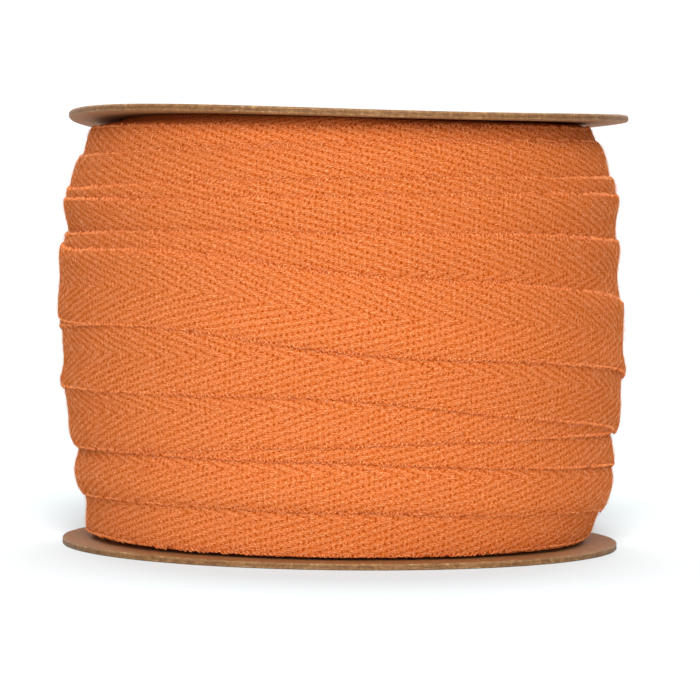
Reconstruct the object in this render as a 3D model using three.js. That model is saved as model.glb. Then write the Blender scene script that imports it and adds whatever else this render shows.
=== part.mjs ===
// A roll of cotton herringbone tape, cross-wound between two round boards.
// Millimetres, +Z up. The origin is the middle of the foot board's underside,
// and the side that faces -Y is the front.
import * as THREE from 'three';

// The two boards. The top one leans a little and is warped like a saddle.
const FOOT_RADIUS = 45;
const FOOT_THICKNESS = 0.95;
const TOP_RADIUS = 45.3;
const TOP_THICKNESS = 1.1;
const TOP_UNDERSIDE = 67.9;
const TOP_SHIFT = 0.65;
const TOP_LEAN = 0.32;
const TOP_WARP = 0.98;
const TOP_WARP_DEGREES = 18.5;
const BOARD_GAP = 0.3;

// The tape, and how softly it lies over the laps beneath it.
const TAPE_WIDTH = 11.8;
const TAPE_THICKNESS = 0.8;
const SELVEDGE_ROUND = 1.6;
const SELVEDGE_THICKNESS = 0.14;
const LAP_SOFTNESS = 1.3;
const LAP_SINK = 0.3;

// Above the highest lap the roll falls away under the top board, most at the sides.
const FRONT_RECESS = 0.3;
const SIDE_RECESS = 4.0;
const RECESS_RUN = 1.1;

// Fineness of the solids.
const COLUMNS = 90;
const ROLL_ROWS = 60;
const LEVEL_STEP = 0.2;
const STEP_WEIGHT = 5;
const TOP_RINGS = [0.4, 0.75];

// The hidden laps, from below the front ones: radius on the left and right, by height.
const HIDDEN_LAPS = [
  { height: 1, left: 40.8, right: 39.1 },
  { height: 4, left: 40.5, right: 39.5 },
  { height: 8, left: 40.5, right: 41.4 },
  { height: 12, left: 42.1, right: 42.3 },
  { height: 16, left: 41.5, right: 42.7 },
  { height: 24, left: 43.2, right: 43.1 },
  { height: 34, left: 44.6, right: 44.9 },
  { height: 43, left: 43.2, right: 43.8 },
  { height: 51, left: 42.5, right: 42.5 },
  { height: 57, left: 43.1, right: 41.2 },
  { height: 62, left: 41.6, right: 40.4 },
  { height: 66, left: 40.7, right: 39.7 },
  { height: 69, left: 40.0, right: 38.9 },
];

// The last laps in the order in which they were wound. Each row is one turn, and
// its columns are the height of the tape's middle at these angles round the roll.
const LAP_ANGLES = [180, 200, 235, 270, 305, 340, 360];
const CLIMBING_LAPS = [
  [7.4, 7.4, 7.2, 7.1, 7.2, 7.3, 7.4],
  [7.7, 7.9, 7.5, 7.1, 7.5, 7.8, 7.9],
  [14.0, 14.1, 14.4, 14.1, 13.4, 12.8, 11.9],
  [22.0, 22.0, 21.75, 21.6, 20.6, 19.8, 19.4],
  [21.8, 21.7, 22.8, 23.95, 24.85, 24.85, 24.9],
  [30.8, 31.15, 31.2, 31, 28.4, 26, 24.6],
  [40.2, 41, 41.6, 42, 42, 42, 42],
];
const FALLING_LAPS = [
  [49, 50, 52, 54, 56.5, 58.8, 59.4],
  [61.2, 60.9, 60.35, 60.1, 60.8, 61.5, 62.2],
  [56.8, 56.3, 56.65, 57.4, 58.6, 59.4, 59.6],
  [51.7, 51.1, 51.5, 52.2, 52.9, 53.7, 54],
  [49.9, 49.4, 49, 49.6, 50.45, 51.1, 51.2],
  [44.3, 44, 44.25, 44, 44.3, 44.05, 43.9],
  [42.6, 41.5, 41.2, 38, 36.7, 35.2, 33.4],
  [33.6, 33.5, 33, 33, 33, 33, 33],
];
// Where each run of laps starts and ends, in degrees from its first row, and the
// angle over which it fades in from, or out to, the hidden laps.
const CLIMBING_RUN = { laps: CLIMBING_LAPS, from: 270, to: 2400, fadeIn: 60, fadeOut: 50 };
const FALLING_RUN = { laps: FALLING_LAPS, from: 270, to: 2590, fadeIn: 60, fadeOut: 0 };

const TURN = 360;
const radians = THREE.MathUtils.degToRad;

// A smooth curve through the points (xs, ys), carried on straight past its ends.
function smoothCurve(xs, ys) {
  const last = xs.length - 1;
  const slopes = xs.map((_, i) => {
    const before = Math.max(i - 1, 0);
    const after = Math.min(i + 1, last);
    return (ys[after] - ys[before]) / (xs[after] - xs[before]);
  });
  return (x) => {
    if (x <= xs[0]) return ys[0] + slopes[0] * (x - xs[0]);
    if (x >= xs[last]) return ys[last] + slopes[last] * (x - xs[last]);
    const i = xs.findIndex((_, k) => x < xs[k + 1]);
    const span = xs[i + 1] - xs[i];
    const t = (x - xs[i]) / span;
    const rise = t * t * (3 - 2 * t);
    const leave = t * (1 - t) * (1 - t) * span * slopes[i];
    const arrive = t * t * (1 - t) * span * slopes[i + 1];
    return ys[i] * (1 - rise) + ys[i + 1] * rise + leave - arrive;
  };
}

const hiddenHeights = HIDDEN_LAPS.map((row) => row.height);
const hiddenLeft = smoothCurve(hiddenHeights, HIDDEN_LAPS.map((row) => row.left));
const hiddenRight = smoothCurve(hiddenHeights, HIDDEN_LAPS.map((row) => row.right));

function hiddenRadius(angle, z) {
  const share = (1 + Math.cos(radians(angle))) / 2;
  return hiddenLeft(z) * (1 - share) + hiddenRight(z) * share;
}

// The height of the tape's middle all along a run of laps.
function lapPath(laps) {
  const angles = [];
  const heights = [];
  laps.forEach((lap, turn) => {
    LAP_ANGLES.forEach((angle, column) => {
      angles.push(turn * TURN + angle);
      heights.push(lap[column]);
    });
  });
  return smoothCurve(angles, heights);
}

const RUNS = [CLIMBING_RUN, FALLING_RUN].map((run) => ({ ...run, path: lapPath(run.laps) }));

// How far a lap stands up from the hidden laps, from 0 to 1, near its run's ends.
function fade(run, along) {
  const rising = run.fadeIn ? (along - run.from) / run.fadeIn : 1;
  const falling = run.fadeOut ? (run.to - along) / run.fadeOut : 1;
  return THREE.MathUtils.smoothstep(Math.min(rising, falling), 0, 1);
}

// The underside of the warped top board, which the roll's end follows.
function topUnderside(x, y) {
  const share = Math.hypot(x - TOP_SHIFT, y) / TOP_RADIUS;
  const angle = Math.atan2(y, x - TOP_SHIFT);
  const saddle = Math.cos(2 * (angle - radians(TOP_WARP_DEGREES)));
  return TOP_UNDERSIDE + TOP_LEAN * share * Math.cos(angle) + TOP_WARP * share * share * saddle;
}

// One upright cut through the wound roll: the radius at each level after all laps.
const ROLL_BASE = FOOT_THICKNESS + BOARD_GAP;
const LEVEL_COUNT = Math.round((TOP_UNDERSIDE + TOP_WARP + TOP_LEAN - ROLL_BASE) / LEVEL_STEP);
const LEVELS = Array.from({ length: LEVEL_COUNT }, (_, i) => ROLL_BASE + i * LEVEL_STEP);
const REACH = Math.ceil((3 * LAP_SOFTNESS) / LEVEL_STEP);
const WEIGHTS = Array.from({ length: 2 * REACH + 1 }, (_, i) => {
  const away = ((i - REACH) * LEVEL_STEP) / LAP_SOFTNESS;
  return Math.exp((-away * away) / 2);
});
const WEIGHT_SUM = WEIGHTS.reduce((sum, weight) => sum + weight, 0);

function softened(radii) {
  const last = radii.length - 1;
  return radii.map((_, i) => {
    const at = (k) => radii[Math.min(Math.max(i + k - REACH, 0), last)];
    return WEIGHTS.reduce((sum, weight, k) => sum + weight * at(k), 0) / WEIGHT_SUM;
  });
}

function layLap(radii, middle, stand) {
  const bed = softened(radii);
  return radii.map((radius, i) => {
    const off = Math.abs(LEVELS[i] - middle);
    if (off > TAPE_WIDTH / 2) return radius;
    const edge = Math.max(off - TAPE_WIDTH / 2 + SELVEDGE_ROUND, 0) / SELVEDGE_ROUND;
    const plump = Math.sqrt(1 - edge * edge);
    const thickness = SELVEDGE_THICKNESS + (TAPE_THICKNESS - SELVEDGE_THICKNESS) * plump;
    const lying = Math.max(bed[i], radius - LAP_SINK);
    return radius * (1 - stand) + (lying + thickness) * stand;
  });
}

function woundCut(angle) {
  let radii = LEVELS.map((z) => hiddenRadius(angle, z));
  let covered = 0;
  for (const run of RUNS) {
    for (let along = angle; along < run.to; along += TURN) {
      if (along < run.from) continue;
      const middle = run.path(along);
      radii = layLap(radii, middle, fade(run, along));
      covered = Math.max(covered, middle + TAPE_WIDTH / 2);
    }
  }
  const sideways = Math.abs(Math.cos(radians(angle)));
  const recess = FRONT_RECESS + (SIDE_RECESS - FRONT_RECESS) * sideways;
  return radii.map((radius, i) => {
    const above = (LEVELS[i] - covered) / RECESS_RUN;
    return radius - recess * THREE.MathUtils.smoothstep(above, 0, 1);
  });
}

// Points up one side of the roll, closer together where the radius changes fast.
function sidePoints(angle) {
  const radii = woundCut(angle);
  const radius = (z) => {
    const at = Math.min(Math.max((z - ROLL_BASE) / LEVEL_STEP, 0), LEVEL_COUNT - 1.001);
    const low = Math.floor(at);
    return radii[low] + (radii[low + 1] - radii[low]) * (at - low);
  };
  const cos = Math.cos(radians(angle));
  const sin = Math.sin(radians(angle));
  const shoulder = radius(TOP_UNDERSIDE - BOARD_GAP);
  const top = topUnderside(shoulder * cos, shoulder * sin) - BOARD_GAP;

  const reached = [0];
  const heights = [ROLL_BASE];
  for (let z = ROLL_BASE + LEVEL_STEP; z < top + LEVEL_STEP; z += LEVEL_STEP) {
    const level = Math.min(z, top);
    const before = heights[heights.length - 1];
    const change = Math.abs(radius(level) - radius(before));
    reached.push(reached[reached.length - 1] + level - before + STEP_WEIGHT * change);
    heights.push(level);
  }
  const total = reached[reached.length - 1];
  return Array.from({ length: ROLL_ROWS }, (_, row) => {
    const wanted = (total * row) / (ROLL_ROWS - 1);
    const next = Math.max(reached.findIndex((length) => length >= wanted - 1e-9), 1);
    const t = (wanted - reached[next - 1]) / (reached[next] - reached[next - 1]);
    const z = heights[next - 1] + (heights[next] - heights[next - 1]) * t;
    return new THREE.Vector3(radius(z) * cos, radius(z) * sin, z);
  });
}

// A closed skin from the middle of the underside, out over the rings, to the middle
// of the top. Each ring holds COLUMNS points, counted anticlockwise from above.
function ringedSolid(bottom, rings, top) {
  const points = [bottom, ...rings.flat(), top];
  const index = [];
  const at = (ring, column) => 1 + ring * COLUMNS + (column % COLUMNS);
  for (let column = 0; column < COLUMNS; column += 1) {
    index.push(0, at(0, column + 1), at(0, column));
    for (let ring = 0; ring + 1 < rings.length; ring += 1) {
      const a = at(ring, column);
      const b = at(ring, column + 1);
      const c = at(ring + 1, column + 1);
      const d = at(ring + 1, column);
      index.push(a, b, c, a, c, d);
    }
    const last = rings.length - 1;
    index.push(at(last, column), at(last, column + 1), points.length - 1);
  }
  const geometry = new THREE.BufferGeometry().setFromPoints(points);
  geometry.setIndex(index);
  geometry.computeVertexNormals();
  return geometry;
}

const ANGLES = Array.from({ length: COLUMNS }, (_, column) => (TURN * column) / COLUMNS);

function flatRing(radius, z, shift = 0) {
  return ANGLES.map((angle) => {
    const x = shift + radius * Math.cos(radians(angle));
    const y = radius * Math.sin(radians(angle));
    return new THREE.Vector3(x, y, typeof z === 'function' ? z(x, y) : z);
  });
}

function footBoard() {
  const rings = [flatRing(FOOT_RADIUS, 0), flatRing(FOOT_RADIUS, FOOT_THICKNESS)];
  return ringedSolid(new THREE.Vector3(0, 0, 0), rings, new THREE.Vector3(0, 0, FOOT_THICKNESS));
}

function topBoard() {
  const above = (x, y) => topUnderside(x, y) + TOP_THICKNESS;
  const shares = [...TOP_RINGS, 1];
  const under = shares.map((share) => flatRing(TOP_RADIUS * share, topUnderside, TOP_SHIFT));
  const over = shares.reverse().map((share) => flatRing(TOP_RADIUS * share, above, TOP_SHIFT));
  const bottom = new THREE.Vector3(TOP_SHIFT, 0, topUnderside(TOP_SHIFT, 0));
  const top = new THREE.Vector3(TOP_SHIFT, 0, above(TOP_SHIFT, 0));
  return ringedSolid(bottom, [...under, ...over], top);
}

function woundRoll() {
  const sides = ANGLES.map(sidePoints);
  const rings = Array.from({ length: ROLL_ROWS }, (_, row) => sides.map((side) => side[row]));
  const shoulder = rings[ROLL_ROWS - 1];
  const end = [...TOP_RINGS].reverse().map((share) => shoulder.map((point) => {
    const x = point.x * share;
    const y = point.y * share;
    return new THREE.Vector3(x, y, topUnderside(x, y) - BOARD_GAP);
  }));
  const top = new THREE.Vector3(0, 0, topUnderside(0, 0) - BOARD_GAP);
  return ringedSolid(new THREE.Vector3(0, 0, ROLL_BASE), [...rings, ...end], top);
}

const cotton = new THREE.MeshStandardMaterial({ color: 0xe27a3c, roughness: 0.95, metalness: 0 });
const greyBoard = new THREE.MeshStandardMaterial({ color: 0x9a7b58, roughness: 0.9, metalness: 0 });

function piece(name, geometry, material) {
  const mesh = new THREE.Mesh(geometry, material);
  mesh.name = name;
  return mesh;
}

const roll = new THREE.Group();
roll.name = 'tape_roll';
roll.add(piece('foot_board', footBoard(), greyBoard));
roll.add(piece('wound_tape', woundRoll(), cotton));
roll.add(piece('top_board', topBoard(), greyBoard));

export default roll;
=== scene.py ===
import math

import bpy
import numpy as np
from mathutils import Matrix, Vector


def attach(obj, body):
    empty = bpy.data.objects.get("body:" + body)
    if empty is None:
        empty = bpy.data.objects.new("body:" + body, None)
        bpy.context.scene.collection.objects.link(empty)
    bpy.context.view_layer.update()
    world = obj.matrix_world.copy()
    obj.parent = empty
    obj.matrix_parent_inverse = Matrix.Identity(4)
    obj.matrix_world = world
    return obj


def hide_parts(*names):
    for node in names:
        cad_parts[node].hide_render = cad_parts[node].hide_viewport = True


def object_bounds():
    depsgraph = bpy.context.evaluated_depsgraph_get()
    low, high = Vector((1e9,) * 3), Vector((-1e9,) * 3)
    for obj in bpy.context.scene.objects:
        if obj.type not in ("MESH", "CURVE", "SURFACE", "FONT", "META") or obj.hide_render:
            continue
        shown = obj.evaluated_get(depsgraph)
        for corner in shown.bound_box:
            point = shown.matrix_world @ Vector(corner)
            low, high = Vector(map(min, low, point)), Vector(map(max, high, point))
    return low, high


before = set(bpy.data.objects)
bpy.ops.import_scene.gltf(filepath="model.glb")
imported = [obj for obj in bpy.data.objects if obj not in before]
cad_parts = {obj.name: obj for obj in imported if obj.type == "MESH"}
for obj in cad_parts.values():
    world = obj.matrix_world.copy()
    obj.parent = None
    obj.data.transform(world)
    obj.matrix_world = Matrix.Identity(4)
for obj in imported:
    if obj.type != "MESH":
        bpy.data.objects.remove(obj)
CAD_LOW, CAD_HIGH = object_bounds()

# A roll of orange herringbone tape on a board spool. The roll's lengths are in
# millimetres, which MM turns into Blender's metres, and all angles are in degrees.
MM = 0.001
TURN = 360

# The boards.
FOOT_RADIUS = 45
FOOT_THICKNESS = 0.95
TOP_RADIUS = 45.3
TOP_THICKNESS = 1.1
TOP_UNDERSIDE = 67.9
TOP_SHIFT = 0.65
TOP_LEAN = 0.32
TOP_WARP = 0.98
TOP_WARP_DEGREES = 18.5
BOARD_GAP = 0.3
FOOT_ROUND = 0.14
TOP_ROUND = 0.4
BOARD_FACE_SHARES = (0.02, 0.3, 0.6, 0.8, 0.92)

# Their cut rims: how far in they are uneven, and how much, in waves and in ripples.
RIM_REACH = 0.8
RIM_WAVE = 5
RIM_WAVE_HEIGHT = 0.05
RIM_RIPPLE = 1.7
RIM_RIPPLE_HEIGHT = 0.03

# The tape and how softly it lies over the laps beneath it.
TAPE_WIDTH = 11.8
TAPE_THICKNESS = 0.8
SELVEDGE_ROUND = 1.6
SELVEDGE_THICKNESS = 0.14
LAP_SOFTNESS = 1.3
LAP_SINK = 0.3

# How unevenly it lies: its selvedges, its wander to either side and its lift.
SELVEDGE_STRIP = 0.6
SELVEDGE_WAVE_HEIGHT = 0.07
SELVEDGE_RAG = 2.6
SELVEDGE_RAG_HEIGHT = 0.05
TAPE_WANDER = 30
TAPE_WANDER_REACH = 0.12
TAPE_LIFT = 18
TAPE_LIFT_HEIGHT = 0.05

# Above the highest lap the roll falls away under the top board, most at the sides.
FRONT_RECESS = 0.3
SIDE_RECESS = 4.0
RECESS_RUN = 1.1

# The lowest lap stands a little clear of the foot board, over a shadowed hollow.
LOWEST_EDGE = 1.42
FOOT_RECESS = 2.2
FOOT_RECESS_RUN = 0.6
INNER_GAP = 0.06
INNER_RADIUS = 6.0

# The weave: weft picks along the tape, warp ends across it, four ends to a twill line.
PICK = 0.83
END = 0.262
TWILL_ENDS = 4

# The hidden laps: radius on the left and right, by height.
HIDDEN_LAPS = [
    {"height": 1, "left": 40.8, "right": 39.1},
    {"height": 4, "left": 40.5, "right": 39.5},
    {"height": 8, "left": 40.5, "right": 41.4},
    {"height": 12, "left": 42.1, "right": 42.3},
    {"height": 16, "left": 41.5, "right": 42.7},
    {"height": 24, "left": 43.2, "right": 43.1},
    {"height": 34, "left": 44.6, "right": 44.9},
    {"height": 43, "left": 43.2, "right": 43.8},
    {"height": 51, "left": 42.5, "right": 42.5},
    {"height": 57, "left": 43.1, "right": 41.2},
    {"height": 62, "left": 41.6, "right": 40.4},
    {"height": 66, "left": 40.7, "right": 39.7},
    {"height": 69, "left": 40.0, "right": 38.9},
]

# The last laps in the order of winding: a row is a turn, and its columns are the
# height of the tape's middle at these angles.
LAP_ANGLES = (180, 200, 235, 270, 305, 340, 360)
CLIMBING_LAPS = [
    (7.4, 7.4, 7.2, 7.1, 7.2, 7.3, 7.4),
    (7.7, 7.9, 7.5, 7.1, 7.5, 7.8, 7.9),
    (14.0, 14.1, 14.4, 14.1, 13.4, 12.8, 11.9),
    (22.0, 22.0, 21.75, 21.6, 20.6, 19.8, 19.4),
    (21.8, 21.7, 22.8, 23.95, 24.85, 24.85, 24.9),
    (30.8, 31.15, 31.2, 31, 28.4, 26, 24.6),
    (40.2, 41, 41.6, 42, 42, 42, 42),
]
FALLING_LAPS = [
    (49, 50, 52, 54, 56.5, 58.8, 59.4),
    (61.2, 60.9, 60.35, 60.1, 60.8, 61.5, 62.2),
    (56.8, 56.3, 56.65, 57.4, 58.6, 59.4, 59.6),
    (51.7, 51.1, 51.5, 52.2, 52.9, 53.7, 54),
    (49.9, 49.4, 49, 49.6, 50.45, 51.1, 51.2),
    (44.3, 44, 44.25, 44, 44.3, 44.05, 43.9),
    (42.6, 41.5, 41.2, 38, 36.7, 35.2, 33.4),
    (33.6, 33.5, 33, 33, 33, 33, 33),
]
CLIMBING_RUN = {"laps": CLIMBING_LAPS, "from": 270, "to": 2400, "fade_in": 60, "fade_out": 50}
FALLING_RUN = {"laps": FALLING_LAPS, "from": 270, "to": 2590, "fade_in": 60, "fade_out": 0}

# The weft's loops along each selvedge: one to a pick, a little irregular, with a few
# left out.
LOOP_WIDTH = 0.7
LOOP_REACH = 0.55
LOOP_FOOT = 0.42
LOOP_YARN = 0.09
LOOP_BURIED = 0.25
LOOP_SHARE = 0.9
LOOP_SHIFT = 0.16

# The soft brushed face: loose fibres that lie on the cloth and stand off it a little.
FIBRES = 33000
FIBRE_LENGTH = 1.1
FIBRE_THICKNESS = 0.017
FIBRE_LIFT = 0.15

# How far the loops and fibres stay off the cloth and off the foot board.
CLOTH_CLEARANCE = 0.03
FOOT_CLEARANCE = 0.1

# Fineness of the meshes. The hidden laps take each second step and sixth level.
STEPS_ROUND = 600
LEVEL_STEP = 0.1
INNER_STEPS = 2
INNER_LEVELS = 6
BOARD_STEPS = 360

# What the seeded unevenness of each piece starts from.
SEEDS = {
    "climbing_laps": 11,
    "falling_laps": 31,
    "climbing_loops": 101,
    "falling_loops": 131,
    "cotton_fuzz": 211,
    "foot_flange": 51,
    "top_flange": 71,
}

# The camera, fitted to both boards' rims in the photograph, at 700 by 700 pixels.
CAMERA_BACK = 480
CAMERA_HEIGHT = 43.17
CAMERA_RIGHT = 1.32
CAMERA_DIP = 1.39
CAMERA_ROLL = 0.68
CAMERA_LENS = 151.5
SENSOR = 36
CAMERA_NEAR = 0.01
CAMERA_FAR = 50

# The table, in metres but for its drop, and its colour before the haze whitens it.
TABLE_HALF = 30.0
TABLE_DROP = 0.03
TABLE_COLOUR = (0.386, 0.41, 0.417, 1.0)

# The lamps: sizes and distances in metres, powers in watts, and plain strengths for the
# world and for the haze that whitens the table.
WORLD_FILL = 0.15
WORLD_SEEN = 1.1
FRONT_HAZE = 8.5
FRONT_HAZE_TILT = 50
FRONT_HAZE_SPREAD = 22
BACK_HAZE = 2.6
BACK_HAZE_TILT = -22
BACK_HAZE_SPREAD = 28
LAMP_DISTANCE = 1.2
KEY_AZIMUTH = 10
KEY_HEIGHT = 20
KEY_POWER = 9.1
KEY_SIZE = (0.35, 0.9)
RIMLIGHT_AZIMUTH = 145
RIMLIGHT_HEIGHT = 25
RIMLIGHT_POWER = 7.6
RIMLIGHT_SIZE = (0.6, 0.6)
TOP_HEIGHT = 89.9
TOP_POWER = 9.0
TOP_SIZE = (0.3, 0.3)
BOUNCE_POWER = 0.9
BOUNCE_SIZE = 0.6
BOUNCE_DROP = 0.01


# Curves

def smooth_curve(xs, ys, x):
    """A smooth curve through the points (xs, ys), carried on straight past its ends."""
    xs = np.asarray(xs, float)
    ys = np.asarray(ys, float)
    before = np.maximum(np.arange(len(xs)) - 1, 0)
    after = np.minimum(np.arange(len(xs)) + 1, len(xs) - 1)
    slopes = (ys[after] - ys[before]) / (xs[after] - xs[before])
    x = np.asarray(x, float)
    inside = np.clip(x, xs[0], xs[-1])
    i = np.clip(np.searchsorted(xs, inside, side="right") - 1, 0, len(xs) - 2)
    span = xs[i + 1] - xs[i]
    t = (inside - xs[i]) / span
    rise = t * t * (3 - 2 * t)
    leave = t * (1 - t) ** 2 * span * slopes[i]
    arrive = t * t * (1 - t) * span * slopes[i + 1]
    curve = ys[i] * (1 - rise) + ys[i + 1] * rise + leave - arrive
    past = np.where(x < xs[0], slopes[0], slopes[-1]) * (x - inside)
    return curve + past


def smooth_step(t):
    """0 up to 0, 1 from 1 on and smooth between."""
    t = np.clip(t, 0, 1)
    return t * t * (3 - 2 * t)


def waves(along, wavelength, seed, parts=5):
    """Seeded gentle unevenness, between about -1 and 1, along a length in mm."""
    rng = np.random.default_rng(seed)
    total = np.zeros_like(np.asarray(along, float))
    for _ in range(parts):
        length = wavelength * rng.uniform(0.6, 1.7)
        total += np.sin(along * math.tau / length + rng.uniform(0, math.tau))
    return total / parts


def top_underside(x, y):
    """Height of the warped top board's underside."""
    share = np.hypot(x - TOP_SHIFT, y) / TOP_RADIUS
    angle = np.arctan2(y, x - TOP_SHIFT)
    saddle = np.cos(2 * (angle - math.radians(TOP_WARP_DEGREES)))
    return TOP_UNDERSIDE + TOP_LEAN * share * np.cos(angle) + TOP_WARP * share**2 * saddle


def level_ground(x, y):
    """Height of the foot board's underside, which lies flat on the table."""
    return np.zeros_like(x)


# Winding

ROLL_BASE = FOOT_THICKNESS + BOARD_GAP
ROLL_REACH = TOP_UNDERSIDE + TOP_WARP + TOP_LEAN
LEVELS = np.arange(ROLL_BASE, ROLL_REACH, LEVEL_STEP)
STEP_ANGLES = np.arange(STEPS_ROUND) * TURN / STEPS_ROUND
ROLL_RADIUS = 44


def hidden_radii():
    """Radius of the hidden laps at every step round the roll and every level."""
    heights = [row["height"] for row in HIDDEN_LAPS]
    left = smooth_curve(heights, [row["left"] for row in HIDDEN_LAPS], LEVELS)
    right = smooth_curve(heights, [row["right"] for row in HIDDEN_LAPS], LEVELS)
    share = ((1 + np.cos(np.radians(STEP_ANGLES))) / 2)[:, None]
    return left * (1 - share) + right * share


def softening():
    """The weights that blur one cut through the roll into the bed a lap lies on."""
    away = (LEVELS[:, None] - LEVELS[None, :]) / LAP_SOFTNESS
    weights = np.exp(-away * away / 2)
    return weights / weights.sum(axis=1, keepdims=True)


def thickness_at(off):
    """The tape's thickness at a place across it: it thins out towards its selvedges."""
    edge = np.clip((np.abs(off) - TAPE_WIDTH / 2) / SELVEDGE_ROUND + 1, 0, 1)
    return SELVEDGE_THICKNESS + (TAPE_THICKNESS - SELVEDGE_THICKNESS) * np.sqrt(1 - edge**2)


def tape_section():
    """Round the tape's cross-section: place across it and lift off its bed, from the
    middle of the underside out to one selvedge, over the face and back."""
    half = TAPE_WIDTH / 2
    flat = half - SELVEDGE_ROUND
    bends = np.radians([8, 30, 50, 68])
    edge_places = half - SELVEDGE_ROUND * (1 - np.cos(bends))
    places = np.concatenate([[half], edge_places, np.linspace(flat, -flat, 9)])
    places = np.concatenate([places, -edge_places[::-1], [-half]])
    face = list(zip(-places, thickness_at(places)))
    underside = [(share * half, 0.0) for share in (0.97, 0.5, 0.0, -0.5, -0.97)]
    return np.array(face + underside)


SECTION = tape_section()
FACE_PLACES = len(SECTION) - 5


def wind(run, radii, covered, soft):
    """Lays a run of laps over radii, which it raises, as it does the height that the
    laps have covered. Returns the angles along the run, the height of the tape's middle
    and the radius at each place round its section. Where the run fades in or out, the
    tape sinks into the cloth beneath it."""
    count = len(run["laps"])
    known = [turn * TURN + angle for turn in range(count) for angle in LAP_ANGLES]
    heights = [height for lap in run["laps"] for height in lap]
    step = TURN / STEPS_ROUND
    along = np.arange(run["from"], run["to"] + step / 2, step)
    middle = smooth_curve(known, heights, along)
    rising = (along - run["from"]) / run["fade_in"]
    falling = (run["to"] - along) / run["fade_out"] if run["fade_out"] else np.ones(len(along))
    stand = smooth_step(np.minimum(rising, falling))

    tops = np.zeros((len(along), len(SECTION)))
    half = TAPE_WIDTH / 2
    for start in range(0, len(along), STEPS_ROUND):
        part = slice(start, min(start + STEPS_ROUND, len(along)))
        columns = np.round(along[part] / step).astype(int) % STEPS_ROUND
        under = radii[columns]
        bed = np.maximum(under @ soft.T, under - LAP_SINK)
        share = stand[part][:, None]
        lying = under * (1 - share) + bed * share
        off = LEVELS[None, :] - middle[part][:, None]
        lifted = lying + share * thickness_at(off)
        covered[columns] = np.maximum(covered[columns], middle[part] + half)
        radii[columns] = np.where(np.abs(off) <= half, lifted, under)
        for k in range(len(columns)):
            bed_here = np.interp(middle[start + k] + SECTION[:, 0], LEVELS, lying[k])
            tops[start + k] = bed_here - TAPE_THICKNESS * (1 - share[k, 0]) + SECTION[:, 1]
    return along, middle, tops


def run_points(along, middle, tops, seed):
    """The tape's skin in mm, and at each step the length along the tape and how steeply
    it climbs."""
    mean = tops.mean(axis=1)
    angles = np.radians(along)
    arc = np.hypot(np.gradient(middle), mean * np.gradient(angles))
    length = np.cumsum(arc)
    slope = np.gradient(middle) / arc

    inside = TAPE_WIDTH / 2 - np.abs(SECTION[:, 0])
    selvedge = np.clip(1 - inside / SELVEDGE_STRIP, 0, 1) ** 2
    side = np.sign(SECTION[:, 0])
    wave = SELVEDGE_WAVE_HEIGHT * np.cos(length * math.tau / (2 * PICK))
    edge = wave + SELVEDGE_RAG_HEIGHT * waves(length, SELVEDGE_RAG, seed)
    wander = TAPE_WANDER_REACH * waves(length, TAPE_WANDER, seed + 1)
    across = SECTION[:, 0] + side * selvedge * edge[:, None] + wander[:, None]
    lift = TAPE_LIFT_HEIGHT * waves(length, TAPE_LIFT, seed + 2)
    radius = tops + lift[:, None]
    x = radius * np.cos(angles)[:, None]
    y = radius * np.sin(angles)[:, None]
    z = np.maximum(middle[:, None] + across, LOWEST_EDGE)
    return np.stack([x, y, z], axis=-1), length, slope


def selvedge_loops(points, length, side, radii, seed):
    """Centre lines of the loops along one selvedge of a run, where no later lap covers
    them: points by loop and place along it."""
    rng = np.random.default_rng(seed)
    rim = points[:, 0 if side < 0 else FACE_PLACES - 1]
    reach = np.hypot(rim[:, 0], rim[:, 1])
    angle = np.unwrap(np.arctan2(rim[:, 1], rim[:, 0]))
    count = int(length[-1] / PICK)
    at = (np.arange(count) + 0.5 + rng.uniform(-LOOP_SHIFT, LOOP_SHIFT, count)) * PICK
    turn = np.interp(at, length, angle)
    radius = np.interp(at, length, reach)
    height = np.interp(at, length, rim[:, 2])

    column = np.round(np.degrees(turn) * STEPS_ROUND / TURN).astype(int) % STEPS_ROUND
    outside = height + side * 1.5 * LEVEL_STEP
    level = np.clip(((outside - ROLL_BASE) / LEVEL_STEP).astype(int), 0, len(LEVELS) - 1)
    beside = radii[column, level]
    shows = (beside < radius + LOOP_BURIED) & (rng.uniform(size=count) < LOOP_SHARE)
    turn, radius, height = turn[shows], np.maximum(radius, beside)[shows], height[shows]
    count = len(turn)

    width = LOOP_WIDTH * rng.uniform(0.75, 1.15, count)[:, None]
    out = LOOP_REACH * rng.uniform(0.55, 1.2, count)[:, None]
    lean = rng.uniform(-0.12, 0.12, count)[:, None]
    lift = rng.uniform(0.0, 0.1, count)[:, None]
    bend = np.radians(np.linspace(0, 180, 6))[None, :]
    along = -width / 2 * np.cos(bend) + lean * np.sin(bend)
    across = out * np.sin(bend) - LOOP_FOOT
    climb = thickness_at(TAPE_WIDTH / 2 + across) - SELVEDGE_THICKNESS
    reach = radius[:, None] + climb + CLOTH_CLEARANCE + lift * np.sin(bend)
    turn = turn[:, None] + along / radius[:, None]
    z = np.maximum(height[:, None] + side * across, ROLL_BASE + LOOP_YARN + FOOT_CLEARANCE)
    return np.stack([reach * np.cos(turn), reach * np.sin(turn), z], axis=-1)


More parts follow.
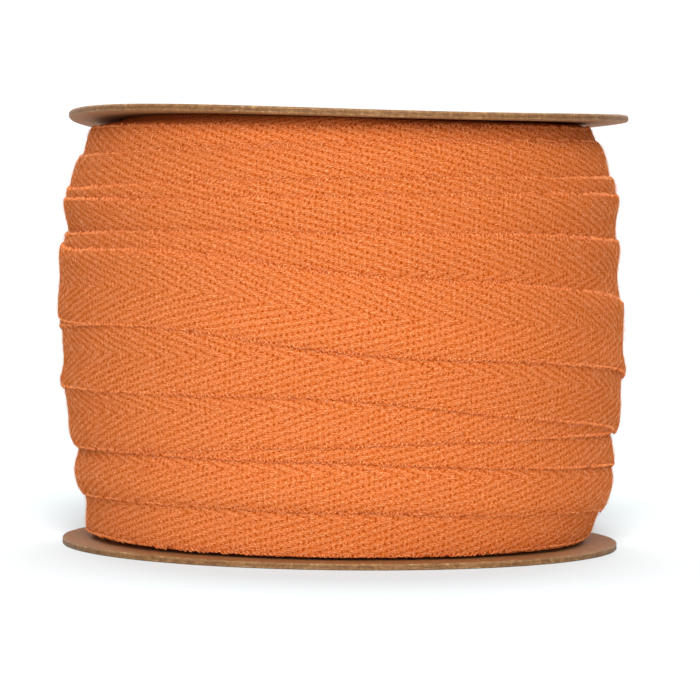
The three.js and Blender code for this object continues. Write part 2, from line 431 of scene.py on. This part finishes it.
def fuzz_fibres(radii, covered, count, seed):
    """Three points along each loose fibre, spread over all of the wound cloth that
    shows: both its ends near the cloth and its middle bent away from them."""
    rng = np.random.default_rng(seed)
    angle = rng.uniform(0, math.tau, count)
    column = (angle / math.tau * STEPS_ROUND).astype(int)
    height = rng.uniform(ROLL_BASE + 0.3, covered[column] - 0.2)
    length = FIBRE_LENGTH * rng.uniform(0.35, 1.4, count)
    heading = rng.uniform(0, math.tau, count)
    bend = 0.3 * length * rng.normal(size=count)
    along = np.stack([-length / 2, bend * np.sin(heading), length / 2])
    across = np.stack([-length / 2, bend * np.cos(heading), length / 2])
    turned = angle + along * np.cos(heading) / ROLL_RADIUS
    level = np.maximum(height + across * np.sin(heading), ROLL_BASE + FOOT_CLEARANCE)
    column = (turned / math.tau * STEPS_ROUND).astype(int) % STEPS_ROUND
    row = np.clip((level - ROLL_BASE) / LEVEL_STEP, 0, len(LEVELS) - 1).astype(int)
    lift = np.abs(rng.normal(size=(3, count))) * FIBRE_LIFT * np.array([[0.3], [1.0], [1.2]])
    reach = radii[column, row] + CLOTH_CLEARANCE + lift
    points = np.stack([reach * np.cos(turned), reach * np.sin(turned), level], axis=-1)
    return points.swapaxes(0, 1)


# Meshes

def piece_mesh(name, points, faces, uv_name=None, uv=None):
    """A closed piece of points in mm. Its UV map, if it has one, has a place for each
    face's corners in turn."""
    mesh = bpy.data.meshes.new(name)
    mesh.from_pydata((points.reshape(-1, 3) * MM).tolist(), [], faces)
    if uv_name:
        mesh.uv_layers.new(name=uv_name).data.foreach_set("uv", uv.ravel())
    mesh.shade_smooth()
    mesh.validate()
    piece = bpy.data.objects.new(name, mesh)
    bpy.context.scene.collection.objects.link(piece)
    return piece


def ring_mesh(name, points, uv, uv_name="tape", closed_along=False):
    """A skin over points[step, place], where each step's places form a closed ring. uv
    is one place longer, and one step longer where the steps form a ring too."""
    steps, places = points.shape[:2]
    step = np.arange(steps if closed_along else steps - 1)
    place = np.arange(places)
    a = step[:, None] * places + place[None, :]
    b = step[:, None] * places + (place[None, :] + 1) % places
    after = ((step + 1) % steps)[:, None] * places
    c = after + (place[None, :] + 1) % places
    d = after + place[None, :]
    faces = np.stack([a, d, c, b], axis=-1).reshape(-1, 4).tolist()
    if not closed_along:
        faces.append(list(range(places)))
        faces.append([(steps - 1) * places + k for k in range(places)][::-1])
    here, after = uv[step], uv[step + 1]
    corners = [here[:, :-1], after[:, :-1], after[:, 1:], here[:, 1:]]
    spread = np.stack(corners, axis=2).reshape(-1, 2)
    if not closed_along:
        spread = np.concatenate([spread, uv[0, :-1], uv[-1, -2::-1]])
    return piece_mesh(name, points, faces, uv_name, spread)


def yarn_mesh(name, lines):
    """Short square-cut yarns along lines[yarn, place], each a closed tube."""
    yarns, places = lines.shape[:2]
    ahead = np.gradient(lines, axis=1)
    ahead /= np.linalg.norm(ahead, axis=-1, keepdims=True)
    outward = lines * [1, 1, 0]
    outward /= np.linalg.norm(outward, axis=-1, keepdims=True)
    beside = np.cross(ahead, outward)
    beside /= np.linalg.norm(beside, axis=-1, keepdims=True)
    outward = np.cross(beside, ahead)
    corners = [outward, beside, -outward, -beside]
    rings = np.stack([lines + LOOP_YARN * corner for corner in corners], axis=2)
    start = (np.arange(yarns) * places * 4)[:, None, None]
    ring = (np.arange(places - 1) * 4)[None, :, None]
    side = np.arange(4)[None, None, :]
    a = start + ring + side
    b = start + ring + (side + 1) % 4
    faces = np.stack([a, b, b + 4, a + 4], axis=-1).reshape(-1, 4)
    near = start[:, 0] + np.array([[3, 2, 1, 0]])
    far = start[:, 0] + (places - 1) * 4 + np.array([[0, 1, 2, 3]])
    faces = np.concatenate([faces, near, far])
    return piece_mesh(name, rings, faces.tolist())


def fibre_mesh(name, lines):
    """Thin bent fibres: a pointed root, a three-cornered middle and a pointed tip."""
    root, middle, tip = lines[:, 0], lines[:, 1], lines[:, 2]
    ahead = tip - root
    ahead /= np.linalg.norm(ahead, axis=-1, keepdims=True)
    outward = middle * [1, 1, 0]
    outward /= np.linalg.norm(outward, axis=-1, keepdims=True)
    beside = np.cross(ahead, outward)
    beside /= np.linalg.norm(beside, axis=-1, keepdims=True)
    outward = np.cross(beside, ahead)
    turns = np.radians([90, 210, 330])
    corners = [outward * math.sin(turn) + beside * math.cos(turn) for turn in turns]
    waist = [middle + FIBRE_THICKNESS * corner for corner in corners]
    points = np.stack([root, *waist, tip], axis=1)
    start = (np.arange(len(lines)) * 5)[:, None, None]
    faces = [(0, 1, 2), (0, 2, 3), (0, 3, 1), (4, 2, 1), (4, 3, 2), (4, 1, 3)]
    faces = (start + np.array(faces)[None]).reshape(-1, 3)
    return piece_mesh(name, points, faces.tolist())


def section_uv(length, slope):
    """Tape coordinates in mm: along the tape, squared to it, and round its section."""
    closed = np.vstack([SECTION, SECTION[:1]])
    steps = np.hypot(*np.diff(closed, axis=0).T)
    round_tape = np.concatenate([[0], np.cumsum(steps)])
    middle = round_tape[np.argmin(np.abs(SECTION[:FACE_PLACES, 0]))]
    across = round_tape - middle
    along = length[:, None] + across[None, :] * slope[:, None]
    return np.stack([along, np.broadcast_to(across, along.shape)], axis=-1)


def tape_run(name, run, radii, covered, soft):
    """Winds a run of laps and makes its piece. Also returns its points and lengths, for
    the loops along it."""
    along, middle, tops = wind(run, radii, covered, soft)
    points, length, slope = run_points(along, middle, tops, SEEDS[name])
    return ring_mesh(name, points, section_uv(length, slope)), (points, length)


def inner_laps(name, radii, covered):
    """The hidden laps, of which a strip shows under the top board."""
    angles = np.radians(STEP_ANGLES[::INNER_STEPS])[:, None]
    heights = LEVELS[::INNER_LEVELS]
    above = heights[None, :] - covered[::INNER_STEPS, None]
    recess = FRONT_RECESS + (SIDE_RECESS - FRONT_RECESS) * np.abs(np.cos(angles))
    picked = radii[::INNER_STEPS, ::INNER_LEVELS] - recess * smooth_step(above / RECESS_RUN)
    below = LOWEST_EDGE + 0.5 - heights
    picked = picked - FOOT_RECESS * smooth_step(below / FOOT_RECESS_RUN)
    roof = top_underside(picked * np.cos(angles), picked * np.sin(angles)) - INNER_GAP
    z = np.minimum(heights, roof)
    inner = np.full_like(angles, INNER_RADIUS)
    reach = np.concatenate([inner, picked, inner], axis=1)
    z = np.concatenate([z[:, :1], z, z[:, -1:]], axis=1)
    points = np.stack([reach * np.cos(angles), reach * np.sin(angles), z], axis=-1)

    steps = np.hypot(np.diff(reach, axis=1).mean(axis=0), np.diff(z, axis=1).mean(axis=0))
    round_roll = np.concatenate([[0], np.cumsum(steps), [steps.sum() + TAPE_WIDTH]])
    across = (round_roll - TAPE_WIDTH / 3) % TAPE_WIDTH - TAPE_WIDTH / 2
    length = np.arange(len(angles) + 1) * math.tau / len(angles) * picked.mean()
    uv = np.stack(np.broadcast_arrays(length[:, None], across[None, :]), axis=-1)
    return ring_mesh(name, points, uv, closed_along=True)


def board(name, radius, thickness, rounding, shift, underside):
    """A round board with softly rounded edges and a slightly uneven cut rim. Its rings
    go round the board, from the middle of one face over the rim to that of the other."""
    angles = np.arange(BOARD_STEPS + 1) * math.tau / BOARD_STEPS
    arc = angles * radius
    bends = np.radians(np.linspace(0, 90, 5))
    inset = rounding * (1 - np.sin(bends))
    rise = rounding * (1 - np.cos(bends))
    face_places = np.array(BOARD_FACE_SHARES) * radius
    under = [(place, 0.0) for place in face_places]
    low_edge = list(zip(radius - inset, rise))
    high_edge = list(zip(radius - inset[::-1], thickness - rise[::-1]))
    over = [(place, thickness) for place in face_places[::-1]]
    profile = np.array(under + low_edge + high_edge + over)
    rim = np.clip((profile[:, 0] - radius) / RIM_REACH + 1, 0, 1)
    wave = RIM_WAVE_HEIGHT * waves(arc, RIM_WAVE, SEEDS[name])
    ripple = RIM_RIPPLE_HEIGHT * waves(arc, RIM_RIPPLE, SEEDS[name] + 1)
    reach = profile[:, 0] + rim * (wave + ripple)[:, None]
    x = shift + reach * np.cos(angles)[:, None]
    y = reach * np.sin(angles)[:, None]
    z = underside(x, y) + profile[:, 1]
    points = np.stack([x, y, z], axis=-1)[:-1]
    over_board = np.concatenate([[0], np.cumsum(np.hypot(*np.diff(profile, axis=0).T))])
    half = len(profile) // 2
    over_board = over_board - (over_board[half - 1] + over_board[half]) / 2
    uv = np.stack(np.broadcast_arrays(arc[:, None], over_board[None, :]), axis=-1)
    return ring_mesh(name, points[:, ::-1].swapaxes(0, 1), uv[:, ::-1].swapaxes(0, 1), "rim")


# Finishes

class Wire:
    """A shader socket that takes part in sums, so the maths reads as expressions."""

    def __init__(self, finish, socket):
        self.finish = finish
        self.socket = socket

    def sum(self, operation, *values):
        return self.finish.node("ShaderNodeMath", {"operation": operation}, dict(enumerate(values)))

    def __add__(self, other):
        return self.sum("ADD", self, other)

    def __sub__(self, other):
        return self.sum("SUBTRACT", self, other)

    def __rsub__(self, other):
        return self.sum("SUBTRACT", other, self)

    def __mul__(self, other):
        return self.sum("MULTIPLY", self, other)

    def __truediv__(self, other):
        return self.sum("DIVIDE", self, other)

    def __neg__(self):
        return self.sum("MULTIPLY", self, -1)

    def __abs__(self):
        return self.sum("ABSOLUTE", self)

    def floor(self):
        return self.sum("FLOOR", self)

    def fract(self):
        return self.sum("FRACT", self)

    def cos(self):
        return self.sum("COSINE", self)

    def exp(self):
        return self.sum("EXPONENT", self)

    def __pow__(self, other):
        return self.sum("POWER", self, other)

    def larger(self, other):
        return self.sum("MAXIMUM", self, other)

    def clamped(self, low=0.0, high=1.0):
        return self.sum("MINIMUM", self.sum("MAXIMUM", self, low), high)

    def between(self, low, high):
        """0 below low, 1 above high and smooth between."""
        settings = {"interpolation_type": "SMOOTHSTEP"}
        inputs = {"Value": self, "From Min": low, "From Max": high}
        return self.finish.node("ShaderNodeMapRange", settings, inputs)


class Finish:
    """A material under construction."""

    def __init__(self, name):
        self.material = bpy.data.materials.new(name)
        self.material.use_nodes = True
        self.tree = self.material.node_tree
        self.tree.nodes.clear()
        self.shader = self.tree.nodes.new("ShaderNodeBsdfPrincipled")
        output = self.tree.nodes.new("ShaderNodeOutputMaterial")
        self.tree.links.new(self.shader.outputs[0], output.inputs["Surface"])

    def node(self, kind, settings=None, inputs=None, output=0):
        """Adds a node, sets it up, joins or sets its sockets and returns one output."""
        made = self.tree.nodes.new(kind)
        for key, value in (settings or {}).items():
            setattr(made, key, value)
        for key, value in (inputs or {}).items():
            self.join(made.inputs[key], value)
        return Wire(self, made.outputs[output])

    def join(self, socket, value):
        if isinstance(value, Wire):
            self.tree.links.new(value.socket, socket)
        else:
            socket.default_value = value

    def dress(self, **values):
        """Sets or joins the shader's own sockets, named with _ for a space."""
        for key, value in values.items():
            self.join(self.shader.inputs[key.replace("_", " ")], value)

    def combine(self, x, y, z):
        return self.node("ShaderNodeCombineXYZ", {}, {0: x, 1: y, 2: z})

    def noise(self, at, scale, detail=2.0, roughness=0.5):
        inputs = {"Vector": at, "Scale": scale, "Detail": detail, "Roughness": roughness}
        return self.node("ShaderNodeTexNoise", {}, inputs, "Fac")

    def mixed(self, share, a, b):
        settings = {"data_type": "RGBA"}
        return self.node("ShaderNodeMix", settings, {0: share, 6: a, 7: b}, 2)

    def ramp(self, value, *stops):
        """Colours at places along a value, blended smoothly between."""
        (start, colour), *others = stops
        for place, other in others:
            colour = self.mixed(value.between(start, place), colour, other)
            start = place
        return colour

    def bump(self, height, distance, strength=1.0):
        inputs = {"Height": height, "Distance": distance, "Strength": strength}
        return self.node("ShaderNodeBump", {}, inputs)


def srgb(red, green, blue):
    """A screen colour, 0 to 255, as linear light."""
    def linear(value):
        share = value / 255
        return share / 12.92 if share <= 0.04045 else ((share + 0.055) / 1.055) ** 2.4
    return (linear(red), linear(green), linear(blue), 1.0)


def tape_coordinates(finish, name):
    """The two coordinates, in mm, that a piece's UV map lays over it."""
    laid = finish.node("ShaderNodeUVMap", {"uv_map": name})
    along = finish.node("ShaderNodeSeparateXYZ", {}, {0: laid}, "X")
    across = finish.node("ShaderNodeSeparateXYZ", {}, {0: laid}, "Y")
    return along, across


def herringbone_cotton():
    """Orange herringbone: plump ends that float over two picks and dip under two, so
    that they lie in twill lines which meet along the tape's middle."""
    cloth = Finish("herringbone_cotton")
    along, across = tape_coordinates(cloth, "tape")

    slow = cloth.noise(cloth.combine(along * 0.35, across * 0.9, 0.0), 1.0) - 0.5
    quick = cloth.noise(cloth.combine(along * 0.9, across * 1.8, 3.0), 1.0) - 0.5
    skew = cloth.noise(cloth.combine(along * 0.9, across * 1.8, 13.0), 1.0) - 0.5
    pick = along / PICK + slow * 0.6 + quick * 0.9
    end = abs(across) / END + slow * 1.2 + skew * 1.7

    row = end.floor()
    floats = None
    for beside in (-1, 0, 1):
        yarn = row + beside
        rise = ((pick + yarn - 0.5) * (math.tau / TWILL_ENDS)).cos() * -0.5 + 0.5
        off = (end - yarn - 0.5) / (rise * 0.35 + 0.52)
        plump = (1 - off * off).clamped() ** 0.5
        height = plump * (rise * 0.6 + 0.4)
        floats = height if floats is None else floats.larger(height)

    column = pick.floor()
    near = pick - column - 0.5
    above = ((end + column - 0.5) / TWILL_ENDS + 0.5).fract() - 0.5
    strength = cloth.noise(cloth.combine(along * 0.7, across * 1.4, 7.0), 1.0).between(0.3, 0.62)
    pit = (-(near * near * 38.0 + above * above * TWILL_ENDS**2 * 1.7)).exp()
    pit = pit * (strength * 0.6 + 0.4)

    twist = across * 6.2 - along * 0.9
    strand = cloth.noise(cloth.combine(along * 1.8, twist, 1.0), 1.0, 2.0, 0.6) - 0.5
    fuzz = cloth.noise(cloth.combine(along * 4.6, across * 7.0, 5.0), 1.0, 3.0, 0.8) - 0.5
    cloud = cloth.noise(cloth.combine(along * 0.09, across * 0.25, 9.0), 1.0)

    height = floats * 0.28 + strand * 1.0 + fuzz * 1.0 - pit * 0.45

    # The colour is darker in the weave's pits and lighter where the ends float high: painted shade
    # in the weave's hollows, laid over the strands' and fuzz's own uneven tone.
    light = floats * 0.22 + strand * 1.4 + fuzz * 2.5 + 0.38 - pit * 0.54
    colour = cloth.ramp(
        light,
        (0.0, srgb(160, 59, 6)),
        (0.3, srgb(199, 92, 24)),
        (0.6, srgb(225, 123, 64)),
        (1.0, srgb(253, 181, 130)),
    )
    colour = cloth.mixed(cloud.between(0.3, 0.75) * 0.1, colour, srgb(212, 108, 50))
    # Painted shade: dark dots along each selvedge, between the loops' feet, stand for the shadow in
    # the gaps under the loops.
    rim = abs(across).between(TAPE_WIDTH / 2 - 0.5, TAPE_WIDTH / 2 - 0.1)
    painted_shade_between_loops = (along * (math.tau / PICK)).cos() * 0.5 + 0.5
    colour = cloth.mixed(rim * painted_shade_between_loops * 0.5, colour, srgb(176, 72, 16))
    cloth.dress(
        Base_Color=colour,
        Roughness=0.9,
        Specular_IOR_Level=0.0,
        Normal=cloth.bump(height, 0.18 * MM),
    )
    return cloth.material


def loop_yarn():
    """The same cotton where the weft turns at the selvedge."""
    yarn = Finish("loop_yarn")
    place = yarn.node("ShaderNodeTexCoord", {}, {}, "Object")
    twist = yarn.noise(place, 2600.0, 3.0, 0.6)
    colour = yarn.mixed(twist.between(0.35, 0.65), srgb(210, 104, 42), srgb(246, 160, 100))
    yarn.dress(
        Base_Color=colour,
        Roughness=0.8,
        Specular_IOR_Level=0.1,
        Normal=yarn.bump(twist, 0.05 * MM),
    )
    return yarn.material


def loose_fibre():
    """Single cotton fibres, paler than the yarn because the light shines through them."""
    fibre = Finish("loose_fibre")
    fibre.dress(
        Base_Color=srgb(252, 184, 132),
        Roughness=0.6,
        Specular_IOR_Level=0.4,
    )
    return fibre.material


def brown_board():
    """Plain brown board: mottled faces, and a cut rim of fibres pressed along it."""
    card = Finish("brown_board")
    along, down = tape_coordinates(card, "rim")
    place = card.node("ShaderNodeTexCoord", {}, {}, "Object")
    pulp = card.noise(place, 1400.0, 4.0, 0.7)
    mottle = card.noise(place, 160.0, 3.0, 0.6)
    fibre = card.noise(card.combine(along * 0.5, down * 5.0, 2.0), 1.0, 4.0, 0.7)
    hair = card.noise(card.combine(along * 2.5, down * 14.0, 4.0), 1.0, 3.0, 0.7)
    core = 1 - abs(down).between(0.1, 0.36)
    shade = pulp * 0.7 + mottle * 0.2 + fibre * 0.6 + hair * 0.7 - 0.6 - core * 0.12
    colour = card.ramp(
        shade,
        (0.25, srgb(98, 64, 32)),
        (0.5, srgb(140, 99, 60)),
        (0.78, srgb(220, 180, 126)),
    )
    face = abs(down).between(0.5, 1.3)
    colour = card.mixed(face * 0.5, colour, srgb(168, 110, 62))
    card.dress(
        Base_Color=colour,
        Roughness=0.7,
        Specular_IOR_Level=0.3,
        Normal=card.bump(pulp * 0.5 + fibre * 0.5 + hair * 0.5, 0.1 * MM),
    )
    return card.material


def studio_white():
    """The table's finish, a touch cool to balance the light that the roll throws on it."""
    table = Finish("studio_white")
    table.dress(
        Base_Color=TABLE_COLOUR,
        Roughness=1.0,
        Specular_IOR_Level=0.0,
    )
    return table.material


def finish_piece(piece, material, node, lit):
    """Dresses a piece, ties it to the frame and puts it in place of a plain CAD part."""
    piece.data.materials.append(material)
    lit.objects.link(piece)
    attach(piece, "root")
    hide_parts(node)


# Studio

def make_camera():
    """The photograph's camera, which dips a little and is rolled a little."""
    data = bpy.data.cameras.new("camera")
    data.lens = CAMERA_LENS
    data.sensor_width = SENSOR
    data.clip_start = CAMERA_NEAR
    data.clip_end = CAMERA_FAR
    camera = bpy.data.objects.new("camera", data)
    bpy.context.scene.collection.objects.link(camera)
    level = Matrix.Rotation(math.radians(90 - CAMERA_DIP), 4, "X")
    roll = Matrix.Rotation(math.radians(CAMERA_ROLL), 4, "Z")
    place = Vector((CAMERA_RIGHT, -CAMERA_BACK, CAMERA_HEIGHT)) * MM
    camera.matrix_world = Matrix.Translation(place) @ level @ roll
    bpy.context.scene.camera = camera


def softbox(name, azimuth, height, size, power, lit):
    """A soft lamp aimed at the roll, that lights the things in lit only. Its azimuth
    runs from the front of the roll round to its right, in degrees."""
    data = bpy.data.lights.new(name, "AREA")
    data.shape = "RECTANGLE"
    data.size, data.size_y = size
    data.energy = power
    light = bpy.data.objects.new(name, data)
    bpy.context.scene.collection.objects.link(light)
    turn = math.radians(azimuth - 90)
    level = LAMP_DISTANCE * math.cos(math.radians(height))
    lift = LAMP_DISTANCE * math.sin(math.radians(height))
    middle = (CAD_LOW + CAD_HIGH) / 2
    away = Vector((level * math.cos(turn), level * math.sin(turn), lift))
    light.location = middle + away
    light.rotation_mode = "QUATERNION"
    light.rotation_quaternion = away.to_track_quat("Z", "Y")
    light.light_linking.receiver_collection = lit


def haze(name, strength, tilt, spread, lit):
    """Far even light on the table, tilted from overhead towards the front in degrees."""
    data = bpy.data.lights.new(name, "SUN")
    data.energy = strength
    data.angle = math.radians(spread)
    light = bpy.data.objects.new(name, data)
    bpy.context.scene.collection.objects.link(light)
    light.rotation_euler.x = math.radians(tilt)
    light.light_linking.receiver_collection = lit


def table_bounce(lit):
    """The light that the white table throws back up at the roll."""
    data = bpy.data.lights.new("table_bounce", "AREA")
    data.shape = "SQUARE"
    data.size = BOUNCE_SIZE
    data.energy = BOUNCE_POWER
    light = bpy.data.objects.new("table_bounce", data)
    bpy.context.scene.collection.objects.link(light)
    light.location.z = -BOUNCE_DROP * MM
    light.rotation_euler.x = math.pi
    light.visible_camera = False
    light.light_linking.receiver_collection = lit


def make_world():
    """White where the camera looks past the floor, and a weaker even fill elsewhere."""
    world = bpy.data.worlds.new("studio")
    bpy.context.scene.world = world
    world.use_nodes = True
    nodes = world.node_tree.nodes
    links = world.node_tree.links
    nodes.clear()
    shares = []
    for strength in (WORLD_FILL, WORLD_SEEN):
        shade = nodes.new("ShaderNodeBackground")
        shade.inputs["Color"].default_value = (1, 1, 1, 1)
        shade.inputs["Strength"].default_value = strength
        shares.append(shade)
    path = nodes.new("ShaderNodeLightPath")
    mix = nodes.new("ShaderNodeMixShader")
    output = nodes.new("ShaderNodeOutputWorld")
    links.new(path.outputs["Is Camera Ray"], mix.inputs[0])
    links.new(shares[0].outputs[0], mix.inputs[1])
    links.new(shares[1].outputs[0], mix.inputs[2])
    links.new(mix.outputs[0], output.inputs["Surface"])


def make_table(lit):
    """The pale floor. The bounce lamp lights the roll in its place."""
    half = TABLE_HALF
    corners = [(-half, -half, 0), (half, -half, 0), (half, half, 0), (-half, half, 0)]
    mesh = bpy.data.meshes.new("floor")
    mesh.from_pydata(corners, [], [(0, 1, 2, 3)])
    floor = bpy.data.objects.new("floor", mesh)
    floor.location.z = -TABLE_DROP * MM
    bpy.context.scene.collection.objects.link(floor)
    floor.data.materials.append(studio_white())
    floor.visible_diffuse = False
    lit.objects.link(floor)


def make_studio(floor_only, roll_only):
    """The table and the lamps, each of which lights either the table or the roll."""
    make_table(floor_only)
    make_world()
    haze("front_haze", FRONT_HAZE, FRONT_HAZE_TILT, FRONT_HAZE_SPREAD, floor_only)
    haze("back_haze", BACK_HAZE, BACK_HAZE_TILT, BACK_HAZE_SPREAD, floor_only)
    softbox("left_softbox", -KEY_AZIMUTH, KEY_HEIGHT, KEY_SIZE, KEY_POWER, roll_only)
    softbox("right_softbox", KEY_AZIMUTH, KEY_HEIGHT, KEY_SIZE, KEY_POWER, roll_only)
    for name, azimuth in (("left_rim", -RIMLIGHT_AZIMUTH), ("right_rim", RIMLIGHT_AZIMUTH)):
        softbox(name, azimuth, RIMLIGHT_HEIGHT, RIMLIGHT_SIZE, RIMLIGHT_POWER, roll_only)
    softbox("top_softbox", 0, TOP_HEIGHT, TOP_SIZE, TOP_POWER, roll_only)
    table_bounce(roll_only)
    view = bpy.context.scene.view_settings
    view.view_transform = "Standard"
    view.look = "None"


def wound_cloth(lit):
    """The wound tape, the loops along its selvedges and the loose fibres of its face."""
    cotton = herringbone_cotton()
    yarn = loop_yarn()
    radii = hidden_radii()
    bare = radii.copy()
    soft = softening()
    covered = np.zeros(STEPS_ROUND)
    climbing, climb = tape_run("climbing_laps", CLIMBING_RUN, radii, covered, soft)
    falling, fall = tape_run("falling_laps", FALLING_RUN, radii, covered, soft)
    inner = inner_laps("inner_laps", bare, covered)
    for piece in (inner, climbing, falling):
        finish_piece(piece, cotton, "wound_tape", lit)
    for name, (points, length) in (("climbing_loops", climb), ("falling_loops", fall)):
        seed = SEEDS[name]
        lines = [selvedge_loops(points, length, side, radii, seed + side) for side in (-1, 1)]
        loops = yarn_mesh(name, np.concatenate(lines))
        finish_piece(loops, yarn, "wound_tape", lit)
    fibres = fuzz_fibres(radii, covered, FIBRES, SEEDS["cotton_fuzz"])
    fuzz = fibre_mesh("cotton_fuzz", fibres)
    finish_piece(fuzz, loose_fibre(), "wound_tape", lit)


def boards(lit):
    """The two round boards of the spool, the lower one flat and the upper one warped."""
    card = brown_board()
    foot = board("foot_flange", FOOT_RADIUS, FOOT_THICKNESS, FOOT_ROUND, 0, level_ground)
    finish_piece(foot, card, "foot_board", lit)
    top = board("top_flange", TOP_RADIUS, TOP_THICKNESS, TOP_ROUND, TOP_SHIFT, top_underside)
    finish_piece(top, card, "top_board", lit)


def main():
    floor_only = bpy.data.collections.new("floor_only")
    roll_only = bpy.data.collections.new("roll_only")
    make_camera()
    make_studio(floor_only, roll_only)
    wound_cloth(roll_only)
    boards(roll_only)


main()
